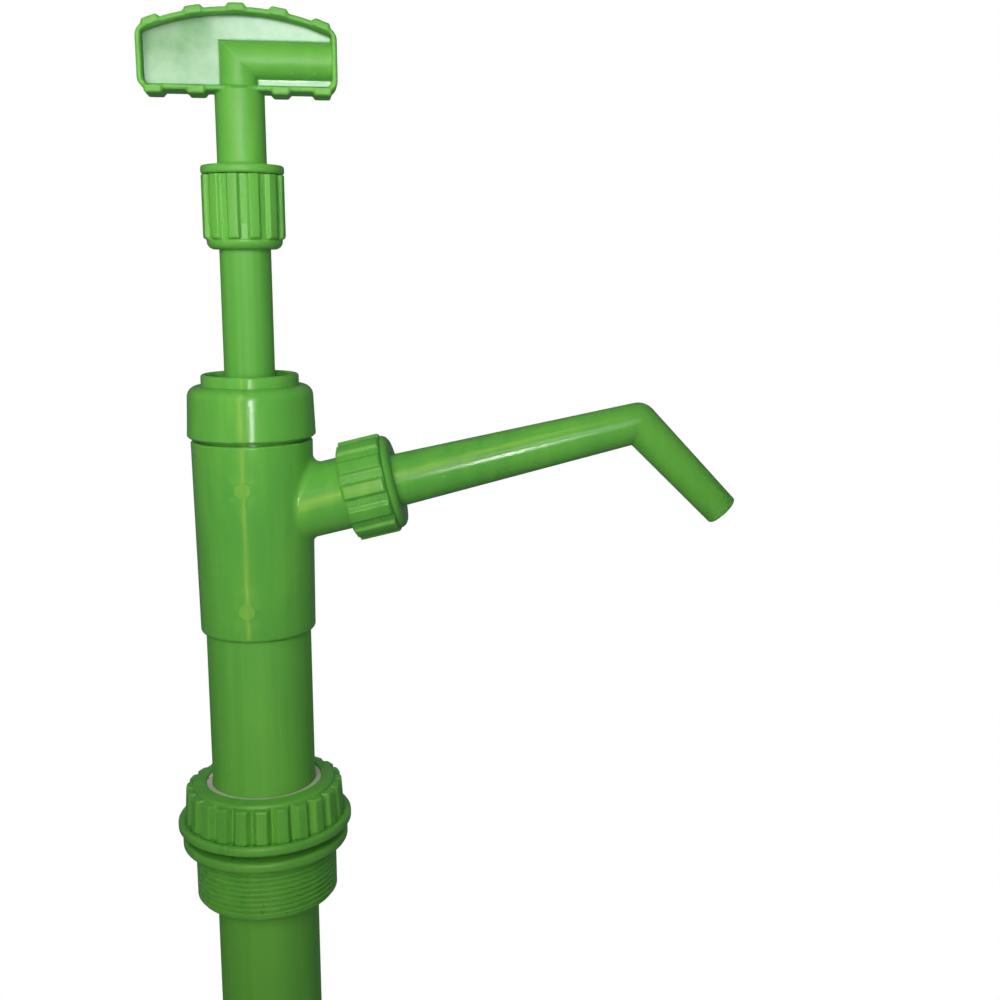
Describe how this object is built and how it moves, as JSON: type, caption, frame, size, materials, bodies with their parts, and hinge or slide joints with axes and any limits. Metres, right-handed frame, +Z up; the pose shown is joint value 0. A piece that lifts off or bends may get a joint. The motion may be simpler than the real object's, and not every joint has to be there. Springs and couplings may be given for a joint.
{
  "type": "hand drum pump",
  "caption": "Lift-action hand pump for drums: a long suction tube in a threaded bung adapter, a tee with a bent spout, and a piston rod with a D-shaped grip.",
  "frame": {"origin": "on the pump's axis, at the underside of the bung flange, where it sits on the drum", "axes": "+Z up the pump's axis towards the handle, +X the way the branch and spout point"},
  "size_m": [0.231, 0.0716, 1.1964],
  "materials": {
    "green_moulding": "glossy injection-moulded polypropylene, leaf green",
    "green_tube": "satin extruded polypropylene, leaf green",
    "white_plastic": "off-white natural plastic",
    "seal_plastic": "smooth white low-friction plastic",
    "black_rubber": "satin black rubber",
    "steel": "polished stainless steel"
  },
  "bodies": {
    "bung": {"bung_body": "green_moulding"},
    "clamp_nut": {"bung_nut": "green_moulding"},
    "clamp": {"clamp_ring": "white_plastic"},
    "pump": {"pump_tube": "green_tube", "tee_body": "green_moulding", "tee_cap": "green_moulding", "cap_gasket": "black_rubber", "guide_bush": "green_moulding", "rod_wiper": "black_rubber", "spout_seal": "black_rubber", "foot_body": "green_moulding", "foot_gasket": "black_rubber", "foot_pin": "steel", "foot_strainer": "white_plastic"},
    "spout": {"spout": "green_moulding"},
    "spout_union": {"spout_nut": "green_moulding"},
    "piston_ring": {"piston_seal": "seal_plastic"},
    "plunger": {"rod": "green_tube", "rod_stop": "white_plastic", "piston_body": "white_plastic", "piston_cage": "white_plastic"},
    "rod_union": {"rod_nut": "green_moulding"},
    "handle": {"handle_grip": "green_moulding", "stem_seal": "black_rubber"},
    "upper_ball": {"piston_ball": "steel"},
    "lower_ball": {"foot_ball": "steel"}
  },
  "joints": [
    {"name": "clamp_nut_turn", "type": "hinge", "parent": "bung", "child": "clamp_nut", "pos_m": [0, 0, 0.008], "axis": [0, 0, 1], "range_deg": [0, 360]},
    {"name": "pump_swivel", "type": "hinge", "parent": "bung", "child": "clamp", "pos_m": [0, 0, 0.02], "axis": [0, 0, 1], "continuous": true},
    {"name": "tube_height", "type": "slide", "parent": "clamp", "child": "pump", "axis": [0, 0, 1], "range_m": [-0.06, 0.765]},
    {"name": "spout_swivel", "type": "hinge", "parent": "pump", "child": "spout", "pos_m": [0, 0, 0.1397], "axis": [0.972, 0, 0.2351], "continuous": true},
    {"name": "spout_nut_turn", "type": "hinge", "parent": "pump", "child": "spout_union", "pos_m": [0, 0, 0.1397], "axis": [0.972, 0, 0.2351], "range_deg": [0, 720]},
    {"name": "plunger_stroke", "type": "slide", "parent": "pump", "child": "piston_ring", "axis": [0, 0, 1], "range_m": [-0.0475, 0.252]},
    {"name": "plunger_turn", "type": "hinge", "parent": "piston_ring", "child": "plunger", "pos_m": [0, 0, 0], "axis": [0, 0, 1], "continuous": true},
    {"name": "handle_turn", "type": "hinge", "parent": "plunger", "child": "handle", "pos_m": [0, 0, 0.2515], "axis": [0, 0, 1], "continuous": true},
    {"name": "rod_nut_turn", "type": "hinge", "parent": "plunger", "child": "rod_union", "pos_m": [0, 0, 0.2515], "axis": [0, 0, -1], "range_deg": [0, 720]},
    {"name": "piston_ball_lift", "type": "slide", "parent": "plunger", "child": "upper_ball", "axis": [0, 0, 1], "range_m": [0, 0.006]},
    {"name": "foot_ball_lift", "type": "slide", "parent": "pump", "child": "lower_ball", "axis": [0, 0, 1], "range_m": [0, 0.007]}
  ]
}
